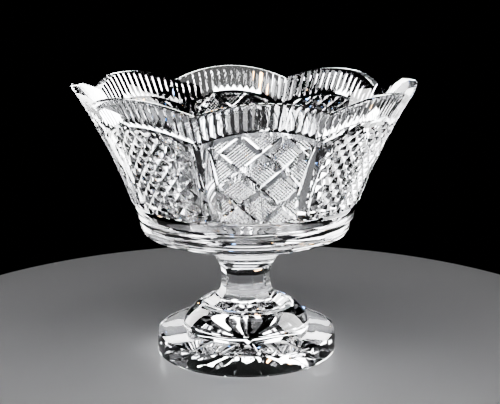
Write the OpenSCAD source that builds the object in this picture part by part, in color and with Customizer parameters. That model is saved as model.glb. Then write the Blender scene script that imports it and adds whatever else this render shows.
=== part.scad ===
// Cut-glass punch bowl on a flat-cut stem and a thick star-cut foot.
// +Z is up. The origin is the middle of the face that the foot rests on.
// The middle of one scallop faces -Y.

/* [Bowl] */
// Diameter across two opposite scallop tops
rim_d = 300; // [280:1:320]
// Height of the scallop tops above the table
height = 241.3; // [232:0.1:250]
// Number of scallops round the rim
scallops = 8; // [6:2:12]
// How far the rim dips between two scallops
scallop_dip = 11.5; // [6:0.5:16]
// Radius of the wall just above the ring bands
band_r = 100.9; // [95:0.1:105]
// Height at which the ring bands start
band_z = 140; // [138:0.5:143]
// Share of the flare that is a straight slope, the rest curving outward
straight_share = 0.72; // [0.6:0.02:1]
// Thickness of the wall, measured level
wall = 8.5; // [7:0.5:11]
// Number of ring bands under the cut panels
ring_bands = 3; // [1:1:3]
// Height of one ring band
ring_pitch = 8.4; // [7:0.1:9]
// How far the notch between two ring bands is cut in
ring_notch = 1.3; // [0.5:0.1:2]
// Depth of the rounded underside
belly = 12; // [10:0.5:14]

/* [Stem] */
// Number of flats cut round the stem
stem_flats = 10; // [6:2:12]
// Radius of the stem at its waist
waist_r = 21.8; // [19:0.1:26]
// Height of the waist
waist_z = 69; // [65:1:73]
// Height at which the stem meets the collar
collar_z = 82; // [80:1:86]
// Radius of the collar where it meets the bowl
collar_r = 48; // [44:1:54]
// Turn of the stem and the foot against the bowl
lower_turn = -5; // [-18:0.5:18]

/* [Foot] */
// Diameter of the foot
foot_d = 161.2; // [150:0.1:172]
// Height of the top face of the foot
foot_h = 21.4; // [19:0.1:24]
// Number of flats cut round the top of the foot
foot_flats = 20; // [16:2:32]
// Height of the plain upright side of the foot
foot_side = 9.5; // [8:0.5:12]
// Lean of the steep flats above that side, from upright
foot_bevel_lean = 10; // [6:1:25]
// How far the top of the foot falls from the disc to those flats
foot_top_slope = 3.4; // [1:0.1:5]
// Diameter of the domed disc on the foot
disc_d = 113.4; // [104:0.1:120]
// Height of the disc's upright edge
disc_edge = 5.6; // [4:0.1:7]
// Height of the dome above that edge
dome_h = 17; // [15:0.1:19]
// Radius at the top of the dome, under the corners of the stem
dome_top_r = 37.5; // [33:0.5:42]
// Number of rays in the star cut into the underside
star_rays = 20; // [12:4:32]
// Depth of the star's rays
star_depth = 1.8; // [1.2:0.1:3]

/* [Hidden] */
$fn = 96;

rim_r = rim_d / 2;
foot_r = foot_d / 2;
disc_r = disc_d / 2;
disc_top = foot_h + disc_edge;
stem_z = disc_top + dome_h;
ring_z = band_z - 2.8 - ring_bands * ring_pitch;
belly_r = wall_r(ring_z) - ring_notch;
seat_z = ring_z - belly * sqrt(1 - pow(collar_r / belly_r, 2));
floor_z = seat_z + 13;
valley_r = wall_r(height - scallop_dip);
valley_half = valley_r * sin(180 / scallops);
scallop_r = (pow(valley_half, 2) + pow(scallop_dip, 2)) / (2 * scallop_dip);
wall_steps = 14;
curve_steps = 12;
dome_steps = 8;
ring_steps = 6;
glass = [0.86, 0.89, 0.93];
glass_cut = [0.78, 0.82, 0.88];

// Radius of the outside of the wall at height z.
function wall_r(z) =
    let (s = (z - band_z) / (height - band_z))
    band_r + (rim_d / 2 - band_r) * (straight_share * s + (1 - straight_share) * s * s);

// Radius of the round glass of the stem and collar at height z.
function flare_r(z) = z > waist_z
    ? waist_r + (collar_r - waist_r) * pow((z - waist_z) / (seat_z - waist_z), 2)
    : waist_r + (dome_top_r - waist_r) * pow((waist_z - z) / (waist_z - stem_z), 4);

// Points of that round glass from height z0 to z1, in even steps.
function lathe_points(z0, z1, steps) =
    [for (i = [0:steps]) let (z = z0 + (z1 - z0) * i / steps) [flare_r(z), z]];

// One ring band, swollen between two notches, from its lower notch upward.
function ring_points(z0) =
    [for (i = [0:ring_steps - 1]) let (z = z0 + ring_pitch * i / ring_steps)
        [wall_r(z) - ring_notch * (1 - sin(180 * i / ring_steps)), z]];

// Solid with an even number of equal flats. The outline gives the distance of
// each flat from the axis against height, as it would be ground on a wheel.
module flat_cut(flats, outline) {
    mirrored = [for (i = [len(outline) - 1:-1:0]) [-outline[i][0], outline[i][1]]];
    intersection_for (k = [0:flats / 2 - 1])
        rotate([0, 0, 90 + 360 / flats * k])
            rotate([90, 0, 0])
                linear_extrude(height = 2 * rim_r, center = true)
                    polygon(concat(outline, mirrored));
}

// Everything under the arches of the scalloped rim.
module under_scallops() {
    cylinder(r = rim_r + 5, h = height - 2 * scallop_dip);
    for (k = [0:scallops / 2 - 1])
        rotate([0, 0, 360 / scallops * k])
            translate([0, 0, height - scallop_r])
                rotate([90, 0, 0])
                    cylinder(r = scallop_r, h = 2 * rim_r + 10, center = true, $fn = 180);
}

module bowl() {
    underside = [for (i = [0:curve_steps])
        let (r = collar_r + (belly_r - collar_r) * sin(90 * i / curve_steps))
        [r, ring_z - belly * sqrt(1 - pow(r / belly_r, 2))]];
    rings = [for (k = [0:ring_bands - 1]) each ring_points(ring_z + k * ring_pitch)];
    upper_z = ring_z + ring_bands * ring_pitch;
    outside = [for (i = [0:wall_steps])
        let (z = upper_z + (height - upper_z) * i / wall_steps)
        [wall_r(z), z]];
    inside = [for (i = [0:wall_steps])
        let (z = height - (height - band_z) * i / wall_steps)
        [wall_r(z) - wall, z]];
    hollow = [for (i = [1:curve_steps])
        let (a = 90 * i / curve_steps)
        [(band_r - wall) * cos(a), band_z - (band_z - floor_z) * sin(a)]];
    color(glass)
        intersection() {
            rotate_extrude()
                polygon(concat([[0, seat_z]], underside, rings, outside, inside, hollow));
            under_scallops();
        }
}

module collar() {
    round_glass = lathe_points(collar_z, seat_z, curve_steps);
    color(glass_cut)
        rotate_extrude()
            polygon(concat([[0, collar_z]], round_glass, [[0, seat_z]]));
}

// Each flat leaves the round glass in a short slope below the collar.
module stem() {
    runout_z = collar_z - 4;
    flat_share = cos(180 / stem_flats);
    flats = [for (p = lathe_points(stem_z, runout_z, curve_steps)) [p[0] * flat_share, p[1]]];
    round_glass = lathe_points(stem_z, collar_z, curve_steps);
    color(glass_cut)
        rotate([0, 0, lower_turn])
            intersection() {
                rotate_extrude()
                    polygon(concat([[0, stem_z]], round_glass, [[0, collar_z]]));
                flat_cut(stem_flats, concat(flats, [[collar_r, collar_z]]));
            }
}

module foot_disc() {
    dome = [for (i = [0:dome_steps])
        let (s = i / dome_steps)
        [disc_r - (disc_r - dome_top_r) * s, disc_top + dome_h * (1 - pow(1 - s, 1.8))]];
    color(glass)
        rotate_extrude()
            polygon(concat([[0, foot_h], [disc_r, foot_h]], dome, [[0, stem_z]]));
}

// V-shaped cutter whose sharp edge climbs from the table at the radius `start`
// to `star_depth` at the radius `deepest`. Its V is drawn `oversize` times as
// large as the ray, so that its bottom stays under the table all the way.
module star_groove(start, deepest) {
    oversize = 5;
    wide = oversize * 0.7 * deepest * tan(180 / star_rays);
    deep = oversize * star_depth;
    toward = deepest > start ? 0 : 180;
    translate([start, 0, 0])
        rotate([0, -atan(star_depth / abs(deepest - start)), toward])
            rotate([90, 0, 90])
                linear_extrude(height = foot_r)
                    polygon([[-wide, -deep], [wide, -deep], [0, 0]]);
}

// One ray of the star, pointed at both ends.
module star_ray() {
    deepest = 0.5 * foot_r;
    intersection() {
        star_groove(0.05 * foot_r, deepest);
        star_groove(0.88 * foot_r, deepest);
    }
}

module foot() {
    bevel_h = foot_h - foot_top_slope - foot_side;
    bevel_w = bevel_h * tan(foot_bevel_lean);
    color(glass_cut)
        rotate([0, 0, lower_turn])
            difference() {
                intersection() {
                    cylinder(r = foot_r, h = foot_h);
                    flat_cut(foot_flats, [
                        [foot_r + bevel_w, -1],
                        [foot_r + bevel_w, foot_side - bevel_h],
                        [foot_r - bevel_w, foot_side + bevel_h],
                        [disc_r, foot_h]]);
                }
                for (k = [0:star_rays - 1])
                    rotate([0, 0, 360 / star_rays * (k + 0.5)]) star_ray();
            }
}

bowl();
collar();
stem();
foot_disc();
foot();
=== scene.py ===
"""Cut lead-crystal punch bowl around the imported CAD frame.

Lengths are in millimetres until a mesh is made, and in metres after that. The bowl is made
smooth first and then cut, as the real one is: every groove is a V-shaped wheel cut swept along
the wall and taken out of the blank with a boolean.

A place on the wall is given as `across`, sideways of an upright line at the angle `middle`, and
`s`, the distance up the wall from the ring bands. Angle 0 faces -Y.
"""

import math

import bmesh
import bpy
import numpy as np
from mathutils import Matrix, Vector


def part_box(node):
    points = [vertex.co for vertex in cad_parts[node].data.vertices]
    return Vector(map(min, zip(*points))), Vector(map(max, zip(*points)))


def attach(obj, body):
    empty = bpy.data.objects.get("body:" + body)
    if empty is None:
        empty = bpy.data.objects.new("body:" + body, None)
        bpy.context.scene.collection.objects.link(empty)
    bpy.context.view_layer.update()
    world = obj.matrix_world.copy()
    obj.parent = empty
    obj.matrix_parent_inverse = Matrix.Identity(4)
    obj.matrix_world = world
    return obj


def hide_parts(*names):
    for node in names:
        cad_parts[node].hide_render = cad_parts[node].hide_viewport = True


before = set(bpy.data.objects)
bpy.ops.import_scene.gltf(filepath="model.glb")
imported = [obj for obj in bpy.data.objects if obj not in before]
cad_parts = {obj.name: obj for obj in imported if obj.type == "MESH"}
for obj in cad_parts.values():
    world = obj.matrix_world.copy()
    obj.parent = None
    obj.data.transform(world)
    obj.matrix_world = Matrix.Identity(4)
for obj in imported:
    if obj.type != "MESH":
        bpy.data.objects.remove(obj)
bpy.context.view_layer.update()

MM = 0.001

# ---------------------------------------------------------------- sizes taken from the frame
def high(node, axis):
    """Highest coordinate of a CAD node along an axis."""
    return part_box(node)[1][axis] / MM


def low(node, axis):
    """Lowest coordinate of a CAD node along an axis."""
    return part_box(node)[0][axis] / MM


RIM_R = high("bowl", 0)
RIM_Z = high("bowl", 2)
SEAT_Z = low("bowl", 2)
COLLAR_R = high("collar", 0)
COLLAR_Z = low("collar", 2)
STEM_Z = low("stem", 2)
DISC_R = high("foot_disc", 0)
FOOT_R = high("foot", 0)
FOOT_Z = high("foot", 2)

# ---------------------------------------------------------------- the blank, as in part.scad
SCALLOPS = 8
SECTOR = 2 * math.pi / SCALLOPS
SCALLOP_DIP = 11.5
BAND_R = 100.9
BAND_Z = 140.0
STRAIGHT_SHARE = 0.72
WALL = 8.5
RING_BANDS = 3
RING_PITCH = 8.4
RING_NOTCH = 1.3
RING_Z = BAND_Z - 2.8 - RING_BANDS * RING_PITCH
BELLY = 12.0
FLOOR_Z = SEAT_Z + 13.0
WAIST_R = 21.8
WAIST_Z = 69.0
STEM_FLATS = 10
LOWER_TURN = math.radians(-5.0)
FOOT_FLATS = 20
FOOT_SIDE = 9.5
FOOT_SLOPE = 3.4
FOOT_LEAN = math.radians(10.0)
DISC_EDGE = 5.6
DOME_R = 37.5
STAR_RAYS = 20
STAR_DEPTH = 1.8
STAR_INNER = 0.05 * FOOT_R
STAR_DEEPEST = 0.5 * FOOT_R
STAR_OUTER = 0.88 * FOOT_R
STAR_FULLNESS = 0.7
# Inward and downward steps of the flat rim's two small bevels.
RIM_PROFILE = ((0.4, 0.35), (0.9, 0.08), (1.8, 0), (6.6, 0), (7.6, 0.15), (8.2, 0.8))
# Shares of a ring band's height at which its swell has points.
RING_STEPS = (0.12, 0.3, 0.5, 0.7, 0.88, 1.0)
# The blank's rings are level up to here, and follow the scallops above.
LEVEL_TOP_Z = 200.0

# ---------------------------------------------------------------- the cutting pattern
CUT_BOTTOM_Z = BAND_Z - 2.8
COMB_HEIGHT = 29.2
FLUTES = 17
DIAMOND_W = 33.8
DIAMOND_H = 33.8
DIAMOND_NODE_Z = 167.6
MITRE_W = 7.0
HATCH_PITCH = 2.3
HATCH_W = 1.5
HATCH_SLOPE = math.tan(math.radians(48.0))
HOBNAIL_W = 12.7
HOBNAIL_H = 13.0
HOBNAIL_TOP = 1.6
LEAF_OFFSET = math.radians(3.3)
LEAF_W = 12.2
LEAF_GAP = 1.5
PANEL_HALF = SECTOR / 2 - math.radians(5.2)
ARCH_W = 10.0
ARCH_SHARE = 0.65
ARCH_RUNOUT = math.radians(1.6)
MITRE_SLOPE = math.tan(math.radians(38.0))
ARCH_SLOPE = math.tan(math.radians(28.0))
LEAF_SLOPE = math.tan(math.radians(42.0))
FLUTE_SLOPE = math.tan(math.radians(31.0))
HOBNAIL_SLOPE = math.tan(math.radians(21.0))

COLUMNS = 32 * SCALLOPS


def wall_r(z):
    """Radius of the outside of the wall at height z."""
    s = (z - BAND_Z) / (RIM_Z - BAND_Z)
    return BAND_R + (RIM_R - BAND_R) * (STRAIGHT_SHARE * s + (1 - STRAIGHT_SHARE) * s * s)


# Distance along the wall, upward from the ring bands, against height.
TABLE_Z = np.linspace(RING_Z, RIM_Z + 30, 400)
TABLE_S = np.concatenate([[0], np.cumsum(np.hypot(np.diff(TABLE_Z), np.diff(wall_r(TABLE_Z))))])


def slant(z):
    """Distance up the wall at height z."""
    return np.interp(z, TABLE_Z, TABLE_S)


def height_at(s):
    """Height at the distance s up the wall."""
    return np.interp(s, TABLE_S, TABLE_Z)


VALLEY_HALF = wall_r(RIM_Z - SCALLOP_DIP) * math.sin(SECTOR / 2)
SCALLOP_R = (VALLEY_HALF ** 2 + SCALLOP_DIP ** 2) / (2 * SCALLOP_DIP)


def rim_height(turn):
    """Height of the rim at an angle from the middle of its scallop."""
    z = np.full(np.shape(turn), RIM_Z, float)
    for _ in range(4):
        z = RIM_Z - SCALLOP_R + np.sqrt(SCALLOP_R ** 2 - (wall_r(z) * np.sin(turn)) ** 2)
    return z


def wall_point(across, s, depth, middle):
    """Point on the wall, or `depth` under its surface."""
    z = height_at(s)
    r = wall_r(z)
    lean = np.arctan((wall_r(z + 0.5) - wall_r(z - 0.5)))
    turn = middle + across / r
    out = r - depth * np.cos(lean)
    return np.stack([out * np.sin(turn), -out * np.cos(turn), z + depth * np.sin(lean)], -1)


# ---------------------------------------------------------------- meshes
def make_object(name, points, faces):
    """Object from points in millimetres and faces."""
    mesh = bpy.data.meshes.new(name)
    mesh.from_pydata((np.asarray(points) * MM).tolist(), [], faces)
    mesh.update()
    piece = bpy.data.objects.new(name, mesh)
    bpy.context.scene.collection.objects.link(piece)
    return piece


class Cutter:
    """Wheel cuts that don't cross each other, gathered to be taken out in one go."""

    def __init__(self):
        self.points = []
        self.faces = []

    def groove(self, across, s, width, middle, slope=MITRE_SLOPE, lift=0.35, share=0.5):
        """One V-shaped cut along a line on the wall. width is one number or one for each point,
        slope is the steepness of the V's walls, lift is how far the cutter stands above the wall,
        and share is how much of the width lies to the left of the line."""
        across = np.asarray(across, float)
        s = np.asarray(s, float)
        width = np.broadcast_to(np.asarray(width, float), across.shape)
        depth = width / 2 * slope
        along = np.stack([np.gradient(across), np.gradient(s)], -1)
        along /= np.linalg.norm(along, axis=1, keepdims=True)
        stretch = width * (1 + lift / depth)
        left = share * stretch
        right = (share - 1) * stretch
        left = wall_point(across - left * along[:, 1], s + left * along[:, 0], -lift, middle)
        right = wall_point(across - right * along[:, 1], s + right * along[:, 0], -lift, middle)
        bottom = wall_point(across, s, depth, middle)
        first = sum(len(p) for p in self.points)
        self.points.append(np.stack([left, right, bottom], 1).reshape(-1, 3))
        count = len(across)
        for i in range(count - 1):
            a = first + 3 * i
            b = a + 3
            self.faces += [(a, b, b + 1, a + 1), (a + 1, b + 1, b + 2, a + 2), (a + 2, b + 2, b, a)]
        end = first + 3 * (count - 1)
        self.faces += [(first, first + 1, first + 2), (end + 2, end + 1, end)]

    def take_from(self, blank):
        """Takes all the grooves out of the blank."""
        tool = make_object("tool", np.concatenate(self.points), self.faces)
        cut(blank, tool)


def cut(blank, tool, how="DIFFERENCE"):
    """Takes tool out of blank, or keeps what both share, and removes tool."""
    bm = bmesh.new()
    bm.from_mesh(tool.data)
    bmesh.ops.recalc_face_normals(bm, faces=bm.faces)
    bm.to_mesh(tool.data)
    bm.free()
    modifier = blank.modifiers.new("cut", "BOOLEAN")
    modifier.operation = how
    modifier.solver = "MANIFOLD"
    modifier.object = tool
    depsgraph = bpy.context.evaluated_depsgraph_get()
    result = bpy.data.meshes.new_from_object(blank.evaluated_get(depsgraph))
    blank.modifiers.clear()
    blank.data = result
    bpy.data.objects.remove(tool)


def lattice(name, rings, turn):
    """Closed piece from rings of points, each a radius (for every turn) and a height."""
    rows = []
    for r, z in rings:
        r = np.broadcast_to(r, turn.shape)
        z = np.broadcast_to(z, turn.shape)
        rows.append(np.stack([r * np.sin(turn), -r * np.cos(turn), z], -1))
    count = len(turn)
    faces = []
    for k in range(len(rows) - 1):
        for j in range(count):
            a = k * count + j
            b = k * count + (j + 1) % count
            faces.append((a, b, b + count, a + count))
    faces.append(tuple(reversed(range(count))))
    last = (len(rows) - 1) * count
    faces.append(tuple(range(last, last + count)))
    return make_object(name, np.concatenate(rows), faces)


# ---------------------------------------------------------------- the bowl
def bowl_blank():
    """The smooth bowl before it is cut, with its scalloped rim and ring bands."""
    turn = np.arange(COLUMNS) * 2 * math.pi / COLUMNS
    top = rim_height((turn + SECTOR / 2) % SECTOR - SECTOR / 2)
    belly_r = wall_r(RING_Z) - RING_NOTCH
    rings = []
    for i in range(13):
        r = COLLAR_R + (belly_r - COLLAR_R) * math.sin(math.pi / 2 * i / 12)
        rings.append((r, RING_Z - BELLY * math.sqrt(max(0, 1 - (r / belly_r) ** 2))))
    for k in range(RING_BANDS):
        for step in RING_STEPS:
            z = RING_Z + RING_PITCH * (k + step)
            rings.append((wall_r(z) - RING_NOTCH * (1 - math.sin(math.pi * step) ** 0.7), z))
    rings.append((wall_r(CUT_BOTTOM_Z + 2), CUT_BOTTOM_Z + 2))
    for z in np.linspace(CUT_BOTTOM_Z + 9, LEVEL_TOP_Z, 8):
        rings.append((wall_r(z), z))
    shoulder = top - 1.2
    for share in (0.25, 0.5, 0.75, 1):
        z = LEVEL_TOP_Z + (shoulder - LEVEL_TOP_Z) * share
        rings.append((wall_r(z), z))
    for inward, down in RIM_PROFILE:
        rings.append((wall_r(top) - inward, top - down))
    for share in np.linspace(0, 1, 11):
        z = top - 4 + (BAND_Z - top + 4) * share
        rings.append((wall_r(z) - WALL, z))
    for i in range(1, 14):
        a = math.pi / 2 * i / 14
        rings.append(((BAND_R - WALL) * math.cos(a), BAND_Z - (BAND_Z - FLOOR_Z) * math.sin(a)))
    return lattice("bowl_glass", rings, turn)


def stations(length, step=4.0):
    """Even shares from 0 to 1 for a cut of that length, about one for each step."""
    return np.linspace(0, 1, max(3, int(math.ceil(length / step)) + 1))


def cut_comb(blank):
    """Upright flutes from the arch mitre over the rim, side by side."""
    pitch = SECTOR / FLUTES
    for parity in (0, 1):
        cutter = Cutter()
        for k in range(SCALLOPS * FLUTES):
            if k % 2 != parity:
                continue
            local = (k % FLUTES + 0.5) * pitch - SECTOR / 2
            middle = k // FLUTES * SECTOR + local
            top = slant(rim_height(local))
            s = np.linspace(top - COMB_HEIGHT, top + 6, 9)
            width = pitch * wall_r(height_at(s)) * 1.01
            cutter.groove(np.zeros(9), s, width, middle, slope=FLUTE_SLOPE)
        cutter.take_from(blank)


def arch_line(local):
    """Distance up the wall of the mitre under a scallop, at an angle from its middle."""
    return slant(rim_height(local)) - COMB_HEIGHT


def cut_arches(blank):
    """One mitre under each scallop, running out across its neighbours' ends."""
    for parity in (0, 1):
        cutter = Cutter()
        for k in range(parity, SCALLOPS, 2):
            local = np.linspace(-1, 1, 41) * (SECTOR / 2 + ARCH_RUNOUT)
            s = arch_line(local)
            beyond = np.clip((np.abs(local) - SECTOR / 2) / ARCH_RUNOUT, 0, 1)
            width = ARCH_W * (1 - 0.93 * beyond)
            cutter.groove(local * wall_r(height_at(s)), s, width, k * SECTOR,
                          slope=ARCH_SLOPE, share=ARCH_SHARE)
        cutter.take_from(blank)


def cut_leaves(blank):
    """A pair of upright mitres between every two panels, pointed at the top like leaves."""
    t = np.linspace(0, 1, 25)
    foot = slant(CUT_BOTTOM_Z + LEAF_GAP)
    s = foot + (arch_line(SECTOR / 2 - LEAF_OFFSET) - LEAF_GAP - foot) * t
    width = 0.1 + LEAF_W * np.sin(math.pi * t ** 0.55) ** 0.8
    for side in (-1, 1):
        cutter = Cutter()
        for k in range(SCALLOPS):
            middle = (k + 0.5) * SECTOR + side * LEAF_OFFSET
            cutter.groove(np.zeros(25), s, width, middle, slope=LEAF_SLOPE)
        cutter.take_from(blank)


def clip_line(offset, rise, lead, panel_half):
    """Stretch of the line s = offset + lead * rise * across that lies inside one panel."""
    across = np.linspace(-62, 62, 497)
    s = offset + lead * rise * across
    local = across / wall_r(height_at(s))
    inside = (np.abs(local) < panel_half) & (s > slant(CUT_BOTTOM_Z) - 0.2)
    inside &= s < arch_line(np.clip(local, -SECTOR / 2, SECTOR / 2))
    found = np.nonzero(inside)[0]
    if len(found) < 8:
        return None
    return across[found[0]], across[found[-1]]


def cut_lattice(blank, panels, width_of, offsets, rise, slope, panel_half, node_s):
    """Parallel grooves across the panels, first leaning one way and then the other. Each passes
    the panel's middle at one of the offsets from node_s."""
    for lead in (1, -1):
        cutter = Cutter()
        for k in panels:
            for offset in offsets:
                ends = clip_line(node_s + offset, rise, lead, panel_half)
                if ends is None:
                    continue
                t = stations((ends[1] - ends[0]) * math.hypot(1, rise))
                across = ends[0] + (ends[1] - ends[0]) * t
                s = node_s + offset + lead * rise * across
                width = np.full(len(t), width_of)
                width[0] = width[-1] = 0.25 * width_of
                cutter.groove(across, s, width, k * SECTOR, slope=slope,
                              lift=min(0.35, 0.1 * width_of))
        cutter.take_from(blank)


def cut_strawberry(blank):
    """Large diamonds with finely cross-hatched tops, on every second panel."""
    rise = DIAMOND_H / DIAMOND_W
    node_s = float(slant(DIAMOND_NODE_Z))
    count = 4
    mitres = [DIAMOND_H * k for k in range(-count, count + 1)]
    cut_lattice(blank, range(0, SCALLOPS, 2), MITRE_W, mitres, rise, MITRE_SLOPE, PANEL_HALF, node_s)
    stretch = math.hypot(1, rise)
    top_half = (DIAMOND_H / stretch - MITRE_W) / 2
    lines = int(top_half / HATCH_PITCH)
    hatch = []
    for k in range(-count, count):
        for j in range(-lines, lines + 1):
            hatch.append(DIAMOND_H * (k + 0.5) + j * HATCH_PITCH * stretch)
    cut_lattice(blank, range(0, SCALLOPS, 2), HATCH_W, hatch, rise, HATCH_SLOPE, PANEL_HALF, node_s)


def cut_hobnail(blank):
    """Small blunt diamonds over the other panels."""
    rise = HOBNAIL_H / HOBNAIL_W
    node_s = float(slant(DIAMOND_NODE_Z))
    pitch = HOBNAIL_H / math.hypot(1, rise)
    lines = [HOBNAIL_H * k for k in range(-14, 15)]
    cut_lattice(blank, range(1, SCALLOPS, 2), pitch - HOBNAIL_TOP, lines, rise, HOBNAIL_SLOPE,
                PANEL_HALF, node_s)


def build_bowl():
    """The bowl, cut in the order in which the cuts cross each other."""
    bowl = bowl_blank()
    cut_strawberry(bowl)
    cut_hobnail(bowl)
    cut_leaves(bowl)
    cut_comb(bowl)
    cut_arches(bowl)
    return bowl


# ---------------------------------------------------------------- collar, stem and foot
def flare_r(z):
    """Radius of the round glass between the foot's dome and the bowl."""
    above = WAIST_R + (COLLAR_R - WAIST_R) * ((z - WAIST_Z) / (SEAT_Z - WAIST_Z)) ** 2
    below = WAIST_R + (DOME_R - WAIST_R) * (np.maximum(WAIST_Z - z, 0) / (WAIST_Z - STEM_Z)) ** 4
    return np.where(z > WAIST_Z, above, below)


STEM_COLUMNS = 40 * STEM_FLATS
STEM_TURN = np.arange(STEM_COLUMNS) * 2 * math.pi / STEM_COLUMNS + LOWER_TURN


def flat_radius(turn, flats, apothem):
    """Distance to the side of a regular polygon along each turn."""
    step = 2 * math.pi / flats
    local = (turn - LOWER_TURN + step / 2) % step - step / 2
    return apothem / np.cos(local)


def build_collar():
    heights = np.linspace(COLLAR_Z, SEAT_Z, 26)
    return lattice("collar_glass", [(flare_r(z), z) for z in heights], STEM_TURN)


def build_stem():
    """Stem whose flats leave the round glass in a short slope under the collar."""
    share = math.cos(math.pi / STEM_FLATS)
    runout = COLLAR_Z - 4
    rings = []
    for z in np.concatenate([np.linspace(STEM_Z, 56, 24), np.linspace(57, runout, 24)]):
        rings.append((flat_radius(STEM_TURN, STEM_FLATS, flare_r(z) * share), z))
    start = float(flare_r(runout)) * share
    for z in np.linspace(runout, COLLAR_Z, 16)[1:]:
        apothem = start + (COLLAR_R - start) * (z - runout) / (COLLAR_Z - runout)
        polygon = flat_radius(STEM_TURN, STEM_FLATS, apothem)
        rings.append((np.minimum(polygon, flare_r(z)), z))
    return lattice("stem_glass", rings, STEM_TURN)


def build_disc():
    """Domed disc, whose top carries the outline of the stem's flats."""
    top = FOOT_Z + DISC_EDGE
    rings = [(DISC_R, FOOT_Z), (DISC_R, top - 0.7), (DISC_R - 0.25, top - 0.2)]
    for share in np.linspace(0.02, 1, 20):
        r = DISC_R - (DISC_R - DOME_R) * share
        rings.append((r, top + (STEM_Z - top) * (1 - (1 - share) ** 1.8)))
    stem_foot = flat_radius(STEM_TURN, STEM_FLATS, DOME_R * math.cos(math.pi / STEM_FLATS))
    rings.append((stem_foot, STEM_Z))
    return lattice("foot_disc_glass", rings, STEM_TURN)


def build_foot():
    """Round foot, cut to its top and steep flats and with the star cut underneath."""
    columns = 384
    turn = np.arange(columns) * 2 * math.pi / columns + LOWER_TURN
    rings = [(FOOT_R - 1.2, 0), (FOOT_R - 0.5, 0.2), (FOOT_R - 0.15, 0.6), (FOOT_R, 1.3),
             (FOOT_R, FOOT_Z), (DISC_R, FOOT_Z)]
    foot = lattice("foot_glass", rings, turn)
    bevel_h = FOOT_Z - FOOT_SLOPE - FOOT_SIDE
    bevel_w = bevel_h * math.tan(FOOT_LEAN)
    outline = [(FOOT_R + bevel_w, -5), (FOOT_R + bevel_w, FOOT_SIDE - bevel_h),
               (FOOT_R - bevel_w, FOOT_SIDE + bevel_h), (DISC_R, FOOT_Z), (0.3 * DISC_R, FOOT_Z + 7)]
    corners = (np.arange(FOOT_FLATS) + 0.5) * 2 * math.pi / FOOT_FLATS + LOWER_TURN
    stretch = 1 / math.cos(math.pi / FOOT_FLATS)
    tool = lattice("tool", [(apothem * stretch, z) for apothem, z in outline], corners)
    cut(foot, tool, "INTERSECT")
    cut(foot, star_tool())
    return foot


def star_tool():
    """Rays of the star under the foot, each a long kite cut deepest towards its outer end."""
    half = STAR_FULLNESS * STAR_DEEPEST * math.tan(math.pi / STAR_RAYS)
    below = 1.0
    points, faces = [], []
    for k in range(STAR_RAYS):
        turn = (k + 0.5) * 2 * math.pi / STAR_RAYS + LOWER_TURN
        along = np.array([math.sin(turn), -math.cos(turn), 0])
        across = np.array([math.cos(turn), math.sin(turn), 0])
        up = np.array([0, 0, 1.0])
        rim = [along * STAR_INNER, along * STAR_DEEPEST - across * half,
               along * STAR_OUTER, along * STAR_DEEPEST + across * half]
        first = len(points)
        points += [p - up * below for p in rim] + rim + [along * STAR_DEEPEST + up * STAR_DEPTH]
        faces.append((first, first + 1, first + 2, first + 3))
        for i in range(4):
            j = (i + 1) % 4
            faces.append((first + i, first + j, first + 4 + j, first + 4 + i))
            faces.append((first + 4 + i, first + 4 + j, first + 8))
    return make_object("tool", points, faces)


# ---------------------------------------------------------------- finish
def fused_faces(piece, z, radius):
    """Gives the faces that are fused to the next piece the see-through material."""
    for face in piece.data.polygons:
        flat = abs(abs(face.normal.z) - 1) < 1e-3
        if flat and abs(face.center.z / MM - z) < 0.01:
            reach = max(math.hypot(*piece.data.vertices[i].co[:2]) for i in face.vertices) / MM
            if reach < radius + 0.01:
                face.material_index = 1


def polish(piece, glass, fused, crease=22):
    """Gives a piece its two materials, and sharp edges where it turns more than `crease` degrees."""
    piece.data.materials.clear()
    piece.data.materials.append(glass)
    piece.data.materials.append(fused)
    piece.data.polygons.foreach_set("use_smooth", [True] * len(piece.data.polygons))
    piece.data.set_sharp_from_angle(angle=math.radians(crease))


def node(tree, kind, **inputs):
    """Shader node with some of its inputs set."""
    made = tree.nodes.new(kind)
    for name, value in inputs.items():
        made.inputs[name.replace("_", " ")].default_value = value
    return made


def crystal(name, tint, waviness):
    """Polished lead crystal: faint streaks of colour, polish marks and a slightly wavy skin."""
    material = bpy.data.materials.new(name)
    material.use_nodes = True
    tree = material.node_tree
    shader = tree.nodes["Principled BSDF"]
    shader.inputs["Transmission Weight"].default_value = 1.0
    shader.inputs["IOR"].default_value = 1.56
    place = tree.nodes.new("ShaderNodeTexCoord")
    cloud = node(tree, "ShaderNodeTexNoise", Scale=14.0, Detail=3.0)
    tree.links.new(place.outputs["Object"], cloud.inputs["Vector"])
    colour = tree.nodes.new("ShaderNodeValToRGB")
    colour.color_ramp.elements[0].position = 0.35
    colour.color_ramp.elements[0].color = (*tint, 1)
    colour.color_ramp.elements[1].position = 0.65
    colour.color_ramp.elements[1].color = (1, 1, 1, 1)
    tree.links.new(cloud.outputs["Fac"], colour.inputs["Fac"])
    tree.links.new(colour.outputs["Color"], shader.inputs["Base Color"])
    scuff = node(tree, "ShaderNodeTexNoise", Scale=900.0, Detail=4.0)
    tree.links.new(place.outputs["Object"], scuff.inputs["Vector"])
    rough = tree.nodes.new("ShaderNodeMapRange")
    rough.inputs["From Min"].default_value = 0.5
    rough.inputs["From Max"].default_value = 0.8
    rough.inputs["To Min"].default_value = 0.0
    rough.inputs["To Max"].default_value = 0.05
    tree.links.new(scuff.outputs["Fac"], rough.inputs["Value"])
    tree.links.new(rough.outputs["Result"], shader.inputs["Roughness"])
    skin = node(tree, "ShaderNodeTexNoise", Scale=90.0, Detail=1.0)
    tree.links.new(place.outputs["Object"], skin.inputs["Vector"])
    bump = node(tree, "ShaderNodeBump", Strength=waviness, Distance=0.0004)
    tree.links.new(skin.outputs["Fac"], bump.inputs["Height"])
    tree.links.new(bump.outputs["Normal"], shader.inputs["Normal"])
    return material


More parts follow.
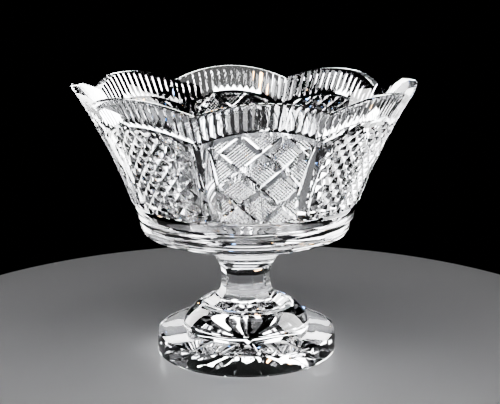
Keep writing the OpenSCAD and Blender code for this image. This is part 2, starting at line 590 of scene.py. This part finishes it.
def see_through():
    """Where two pieces are fused there is no surface left, so light passes straight on."""
    material = bpy.data.materials.new("fused_joint")
    material.use_nodes = True
    tree = material.node_tree
    tree.nodes.remove(tree.nodes["Principled BSDF"])
    clear = tree.nodes.new("ShaderNodeBsdfTransparent")
    tree.links.new(clear.outputs["BSDF"], tree.nodes["Material Output"].inputs["Surface"])
    return material


def pale_floor():
    """Round pale table top just under the foot."""
    bm = bmesh.new()
    bmesh.ops.create_circle(bm, cap_ends=True, segments=96, radius=0.36)
    mesh = bpy.data.meshes.new("floor")
    bm.to_mesh(mesh)
    bm.free()
    floor = bpy.data.objects.new("floor", mesh)
    bpy.context.scene.collection.objects.link(floor)
    floor.location.z = -0.0002
    material = bpy.data.materials.new("floor")
    material.use_nodes = True
    shader = material.node_tree.nodes["Principled BSDF"]
    shader.inputs["Base Color"].default_value = (0.62, 0.62, 0.63, 1)
    shader.inputs["Roughness"].default_value = 0.35
    mesh.materials.append(material)


def area_light(name, place, size, power, colour=(1, 1, 1), only_on=None):
    """Soft rectangular light turned to the bowl, which the camera doesn't see directly. With only_on
    it lights nothing but the pieces in that collection."""
    data = bpy.data.lights.new(name, "AREA")
    data.shape = "RECTANGLE"
    data.size, data.size_y = size
    data.energy = power
    data.color = colour
    lamp = bpy.data.objects.new(name, data)
    bpy.context.scene.collection.objects.link(lamp)
    lamp.location = place
    lamp.rotation_euler = (Vector((0, 0, 0.14)) - Vector(place)).to_track_quat("-Z", "Y").to_euler()
    lamp.visible_camera = False
    lamp.light_linking.receiver_collection = only_on


def studio(pieces):
    """Dark room with soft boxes behind and beside the glass, and a weak one over the floor."""
    world = bpy.data.worlds.new("studio")
    world.use_nodes = True
    world.node_tree.nodes["Background"].inputs["Color"].default_value = (0.001, 0.001, 0.0012, 1)
    bpy.context.scene.world = world
    bpy.context.scene.view_settings.look = "AgX - Medium High Contrast"
    glass = bpy.data.collections.new("glass_only")
    for piece in pieces:
        glass.objects.link(piece)
    area_light("right_box", (0.71, 0.06, 0.13), (0.6, 1.3), 30, only_on=glass)
    area_light("left_box", (-0.56, 0.55, 0.15), (0.36, 1.2), 19, only_on=glass)
    area_light("top_box", (0.0, 0.62, 0.85), (0.7, 0.25), 14, only_on=glass)
    area_light("rim_strip", (0.0, 0.9, 0.46), (1.4, 0.08), 6, only_on=glass)
    area_light("floor_box", (0.0, -0.2, 1.1), (0.9, 0.6), 4.4)
    area_light("warm_glint", (-0.25, 0.8, 0.2), (0.03, 0.06), 0.15, (1, 0.55, 0.2), glass)
    area_light("cool_glint", (0.2, 0.8, 0.12), (0.03, 0.06), 0.15, (0.15, 0.4, 1), glass)


def camera():
    """Standing a little left of the middle of the front scallop, looking slightly down."""
    distance, rise, turn, roll = 0.98576, math.radians(13.129), math.radians(-6.0), math.radians(0.257)
    forward = Vector((-math.sin(turn) * math.cos(rise), math.cos(turn) * math.cos(rise), -math.sin(rise)))
    right = Vector((math.cos(turn), math.sin(turn), 0))
    up = right.cross(forward)
    target = Vector((0, 0, 0.125))
    place = target - forward * distance
    forward = (target + right * 0.00388 + up * 0.0088 - place).normalized()
    right = forward.cross(Vector((0, 0, 1))).normalized()
    up = right.cross(forward)
    rolled_right = right * math.cos(roll) - up * math.sin(roll)
    rolled_up = right * math.sin(roll) + up * math.cos(roll)
    data = bpy.data.cameras.new("camera")
    data.lens = 79.77
    view = bpy.data.objects.new("camera", data)
    bpy.context.scene.collection.objects.link(view)
    matrix = Matrix.Identity(4)
    for axis, vector in enumerate((rolled_right, rolled_up, -forward)):
        for i in range(3):
            matrix[i][axis] = vector[i]
    matrix.translation = place
    view.matrix_world = matrix
    bpy.context.scene.camera = view


GLASS = crystal("cut_crystal", (0.93, 0.94, 0.97), 0.06)
PLAIN_GLASS = crystal("foot_crystal", (0.92, 0.93, 0.96), 0.1)
FUSED = see_through()

bowl = build_bowl()
polish(bowl, GLASS, FUSED)
fused_faces(bowl, SEAT_Z, COLLAR_R)
collar = build_collar()
polish(collar, PLAIN_GLASS, FUSED)
fused_faces(collar, SEAT_Z, COLLAR_R)
fused_faces(collar, COLLAR_Z, COLLAR_R)
stem = build_stem()
polish(stem, PLAIN_GLASS, FUSED)
fused_faces(stem, COLLAR_Z, COLLAR_R)
fused_faces(stem, STEM_Z, DOME_R)
disc = build_disc()
polish(disc, PLAIN_GLASS, FUSED)
fused_faces(disc, FOOT_Z, DISC_R)
foot = build_foot()
polish(foot, PLAIN_GLASS, FUSED)
fused_faces(foot, FOOT_Z, DISC_R)
# The disc's top cap is the only part of its top that the stem covers.
for face in disc.data.polygons:
    if len(face.vertices) > 4 and face.normal.z > 0.9:
        face.material_index = 1

for piece, cad_node, slot in ((bowl, "bowl", "bowl_glass"), (collar, "collar", "stem_glass"),
                              (stem, "stem", "stem_glass"), (disc, "foot_disc", "foot_glass"),
                              (foot, "foot", "foot_glass")):
    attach(piece, "root")
    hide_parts(cad_node)

pale_floor()
studio((bowl, collar, stem, disc, foot))
camera()
